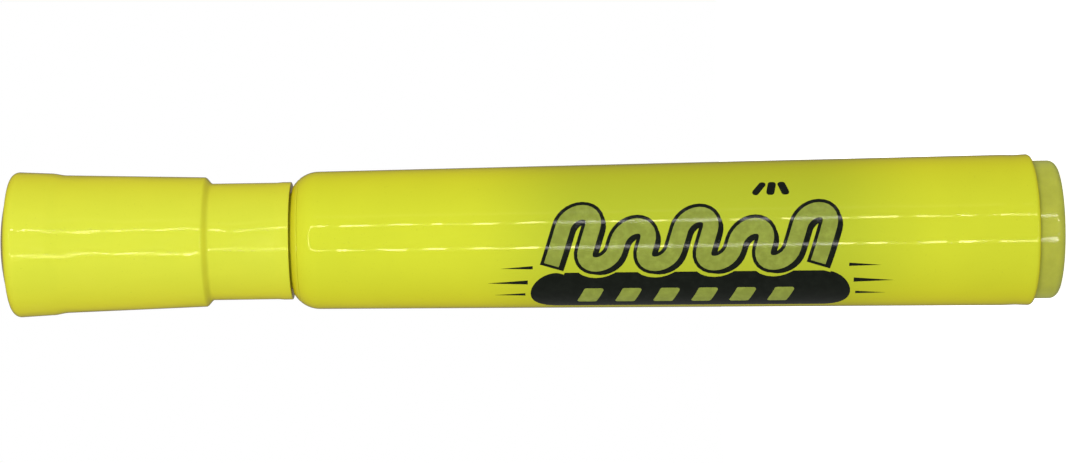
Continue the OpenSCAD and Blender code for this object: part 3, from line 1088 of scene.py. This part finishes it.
def ink_meshes(layers, band):
    """A flat mesh for each ink, in bands that can follow the barrel. A layer is an ink and a shape in
    millimetres, and covers what it overlaps of the layers before it. Ink None leaves the plastic bare."""
    corners, loops = [], []
    for ink, shape in layers:
        area = sum(a[0] * b[1] - b[0] * a[1] for a, b in zip(shape, shape[1:] + shape[:1]))
        loops.append(list(range(len(corners), len(corners) + len(shape))))
        corners += [Vector(p) for p in (shape if area > 0 else shape[::-1])]
    low, high = (pick(c.y for c in corners) for pick in (min, max))
    left, right = (pick(c.x for c in corners) for pick in (min, max))
    lines = []
    for i in range(1, math.ceil((high - low) / band)):
        lines.append((len(corners), len(corners) + 1))
        corners += [Vector((left - 1, low + i * band)), Vector((right + 1, low + i * band))]
    cut = delaunay_2d_cdt(corners, lines, loops, 0, 1e-5)
    points, cells, owners = cut[0], cut[2], cut[5]
    made = {}
    # In order of name, because a set's own order changes from run to run.
    for ink in sorted({ink for ink, shape in layers if ink}):
        own = [c for c, o in zip(cells, owners) if o and layers[max(o)][0] == ink]
        used = sorted({i for cell in own for i in cell})
        number = {old: new for new, old in enumerate(used)}
        # The faces look down, which is outwards once they are wrapped.
        faces = [[number[i] for i in reversed(cell)] for cell in own]
        made[ink] = new_object(ink, [(points[i].x * MM, points[i].y * MM, 0) for i in used], faces=faces)
    return made


class HIGHLIGHTER_OT_print(bpy.types.Operator):
    """Makes the two-ink print: a winding stroke over a panel with slanted bars, and lines at its ends"""

    bl_idname = "highlighter.print"
    bl_label = "Print"

    def execute(self, context):
        s, h = settings("print"), Heights()
        dark, tint = "print_dark", "print_tint"
        # All of the print's sizes are in millimetres, from the end of it that is nearer the cap.
        whole = 47.5
        panel = capsule(start=5.3, end=42.2, centre=7.45, half=3.15)
        layers = [(dark, panel)]
        for i in range(3):
            lean = 0.75 - 0.55 * i
            ray = leaning(30.6 + 1.9 * i, width=0.95, bottom=-4.5, top=-6.3, lean=lean, corner=0.35)
            layers.append((dark, ray))
        for level, tip, root, half in ((3.6, 1.9, 5.6, 0.2), (5.6, 0.4, 5.0, 0.3), (7.6, 1.2, 4.7, 0.22)):
            point, under, over = (tip, level + 0.1), (root, level + half), (root, level - half)
            layers.append((dark, [point, under, over]))
            layers.append((dark, [(whole - x, y) for x, y in (point, over, under)]))
        tops = (-2.8, -1.1, -2.3, -0.9, -2.6)
        path = winding_path(first=8.8, pitch=3.4, tops=tops, bottom=3.3, lean=0.32)
        layers += [
            (None, stroke(path, 1.75, reach=0.75)),
            (dark, stroke(path, 0.95, reach=0.1, shift=(0.5, 0.4))),
            (dark, stroke(path, 1.28, reach=0.33)),
            (tint, stroke(path, 0.88)),
        ]
        for i in range(6):
            bar = leaning(10.6 + 4.4 * i, width=2.3, bottom=9.3, top=6.6, lean=0.35, corner=0.3)
            layers.append((tint, bar))
        inks = {
            dark: pad_printed_ink("pad_printed_dark_ink", s.dark, 0.08),
            tint: pad_printed_ink("pad_printed_tint_ink", s.tint, 0.08),
        }
        tan = math.tan(settings("barrel").draft)
        for name, piece in ink_meshes(layers, s.band / MM).items():
            run_tree(
                piece,
                wrapping_tree(),
                inks[name],
                start=s.start,
                turn=s.turn,
                radius=h.front_r + (h.shoulder - s.start) * tan,
                widening=tan,
                film=s.film,
            )
            check_closed(piece)
            piece.data.set_sharp_from_angle(angle=math.radians(38))
            set_on_body(piece, "barrel", None)
        return {"FINISHED"}


# ---------------------------------------------------------------- stage


def glow(name, strength):
    """A lamp's surface: plain white light, a little uneven."""
    material = bpy.data.materials.new(name)
    material.use_nodes = True
    tree = material.node_tree
    tree.nodes.clear()
    point = add(tree, "ShaderNodeTexCoord").outputs["Object"]
    uneven = scaled(tree, noise(tree, point, 12 * MM), 0.3, 0.7, strength * 0.75, strength * 1.2)
    light = add(tree, "ShaderNodeEmission", {"Color": (1.0, 0.98, 0.95, 1.0), "Strength": uneven})
    add(tree, "ShaderNodeOutputMaterial", {"Surface": light.outputs[0]})
    return material


class HIGHLIGHTER_OT_stage(bpy.types.Operator):
    """Sets up the camera, a pale floor, a light tent and a frame of small lamps"""

    bl_idname = "highlighter.stage"
    bl_label = "Stage"

    def execute(self, context):
        s, scene = settings("stage"), context.scene
        scene.view_settings.view_transform = "Standard"
        self.set_camera(s, scene)
        self.set_floor(s)
        self.set_tent(s, scene)
        self.set_lamp_frame(s)
        self.set_panels(s)
        return {"FINISHED"}

    def set_camera(self, s, scene):
        lens = bpy.data.cameras.new("camera")
        lens.lens, lens.sensor_width = s.lens, 36.0
        lens.clip_start, lens.clip_end = 10 * MM, 10.0
        camera = bpy.data.objects.new("camera", lens)
        scene.collection.objects.link(camera)
        # The highlighter lies level across the view, with its cap to the left.
        cos, sin = math.cos(s.roll), math.sin(s.roll)
        turn = Matrix(((-sin, cos, 0.0), (0.0, 0.0, -1.0), (-cos, -sin, 0.0)))
        camera.matrix_world = Matrix.Translation((s.aside, -s.distance, s.height)) @ turn.to_4x4()
        scene.camera = camera

    def set_floor(self, s):
        """A broad round floor of pale, evenly lit card."""
        sides = 96
        turns = [FULL_TURN * i / sides for i in range(sides)]
        rim = [(s.floor * math.cos(turn), s.floor * math.sin(turn), 0.0) for turn in turns]
        floor = new_object("floor", rim, faces=[tuple(range(sides))])
        even_light = {"Emission Color": (1.0, 1.0, 1.0, 1.0), "Emission Strength": 0.75}
        card, tree, point, shader = new_material("pale_card", {"IOR": 1.3, **even_light})
        pulp = noise(tree, point, 3 * MM, 4.0)
        surface(
            tree,
            shader,
            mixed(tree, pulp, linear("#F4F4F2"), linear("#F7F7F6")),
            scaled(tree, pulp, 0.3, 0.7, 0.85, 0.95),
            bumped(tree, pulp, 4e-6),
        )
        coat(floor, card)
        floor.visible_diffuse = False
        floor.visible_glossy = False

    def set_tent(self, s, scene):
        """A white tent all round, a little brighter in front of the highlighter than behind it."""
        world = bpy.data.worlds.new("light tent")
        world.use_nodes = True
        scene.world = world
        tree = world.node_tree
        tree.nodes.clear()
        direction = add(tree, "ShaderNodeTexCoord").outputs["Generated"]
        forward = add(tree, "ShaderNodeSeparateXYZ", {0: direction}).outputs["Y"]
        strength = scaled(tree, forward, -1.0, 1.0, s.tent + s.front, s.tent - s.front)
        ray = add(tree, "ShaderNodeLightPath").outputs
        strength = maths(tree, "MULTIPLY", strength, scaled(tree, ray["Is Glossy Ray"], 0, 1, 1, s.mirrored))
        tent = add(tree, "ShaderNodeBackground", {"Color": (1.0, 1.0, 1.0, 1.0), "Strength": strength})
        white = add(tree, "ShaderNodeBackground", {"Color": (1.0, 1.0, 1.0, 1.0), "Strength": 1.0})
        both = {0: ray["Is Camera Ray"], 1: tent.outputs[0], 2: white.outputs[0]}
        both = add(tree, "ShaderNodeMixShader", both)
        add(tree, "ShaderNodeOutputWorld", {"Surface": both.outputs[0]})

    def set_lamp_frame(self, s):
        """A frame of small lamps in front, with round ends, and a plain strip beside it."""
        high = s.distance * math.tan(s.lamp_high)
        low = -s.distance * math.tan(s.lamp_low)
        middle, radius, half = (high + low) / 2, (high - low) / 2, s.lamp_reach / 2
        top, bottom = s.height + half, s.height - half
        ring = arc((middle, top), radius, 0, 180, 40) + arc((middle, bottom), radius, 180, 360, 40)
        around = [(i, (i + 1) % len(ring)) for i in range(len(ring))]
        aside = s.distance * math.tan(s.lamp_strip)
        strip = [(aside, bottom), (aside, top)]
        for name, line, edges, back, pitch, width, brightness in (
            ("lamp_frame", ring, around, 0.0, s.lamp_pitch, s.lamp_width, s.lamps),
            ("lamp_bar", ring, around, 2 * MM, s.lamp_length, s.bar_width, s.lamp_bar),
            ("lamp_strip", strip, [(0, 1)], 0.0, s.lamp_length, s.bar_width, s.lamp_bar * s.strip_share),
        ):
            lamps = new_object(name, [(x, -s.distance - back, z) for x, z in line], edges=edges)
            run_tree(
                lamps,
                lamp_tree(),
                glow(name + "_glow", brightness),
                pitch=pitch,
                length=s.lamp_length,
                width=width,
            )
            lamps.visible_camera = False
            lamps.visible_diffuse = False

    def set_panels(self, s):
        """Soft panels in front, nearer the cap, and behind on both sides. They light without a gleam."""
        for name, place, aim, size, power in (
            ("panel_front", (0.02, -0.26, 0.15), 0.09, 0.16, s.key),
            ("panel_back_right", (0.24, 0.20, 0.12), 0.06, 0.2, s.fill),
            ("panel_back_left", (-0.24, 0.20, 0.12), 0.06, 0.2, s.fill),
        ):
            light = bpy.data.lights.new(name, "AREA")
            light.shape = "DISK"
            light.size = size
            light.energy = power
            panel = bpy.data.objects.new(name, light)
            bpy.context.scene.collection.objects.link(panel)
            panel.location = place
            toward = Vector((0, 0, aim)) - panel.location
            panel.rotation_euler = toward.to_track_quat("-Z", "Y").to_euler()
            panel.visible_camera = False
            panel.visible_glossy = False


# ---------------------------------------------------------------- add-on


class HIGHLIGHTER_PT_sidebar(bpy.types.Panel):
    """Lists the highlighter's pieces and their settings"""

    bl_idname = "HIGHLIGHTER_PT_sidebar"
    bl_label = "Highlighter"
    bl_space_type = "VIEW_3D"
    bl_region_type = "UI"
    bl_category = "Highlighter"

    def draw(self, context):
        for operator in OPERATORS:
            self.layout.operator(operator.bl_idname)
        for name, group in GROUPS.items():
            box = self.layout.box()
            box.label(text=name.capitalize())
            for key in group.__annotations__:
                box.prop(settings(name), key)


OPERATORS = (
    HIGHLIGHTER_OT_stage,
    HIGHLIGHTER_OT_barrel,
    HIGHLIGHTER_OT_plug,
    HIGHLIGHTER_OT_holder,
    HIGHLIGHTER_OT_nib,
    HIGHLIGHTER_OT_cap,
    HIGHLIGHTER_OT_print,
)
CLASSES = (*GROUPS.values(), *OPERATORS, HIGHLIGHTER_PT_sidebar)


def register():
    for item in CLASSES:
        bpy.utils.register_class(item)
    for name, group in GROUPS.items():
        setattr(bpy.types.Scene, "highlighter_" + name, PointerProperty(type=group))


def unregister():
    for name in GROUPS:
        delattr(bpy.types.Scene, "highlighter_" + name)
    for item in reversed(CLASSES):
        bpy.utils.unregister_class(item)


def main():
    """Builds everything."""
    register()
    for operator in OPERATORS:
        module, name = operator.bl_idname.split(".")
        getattr(getattr(bpy.ops, module), name)()


if __name__ == "__main__":
    main()
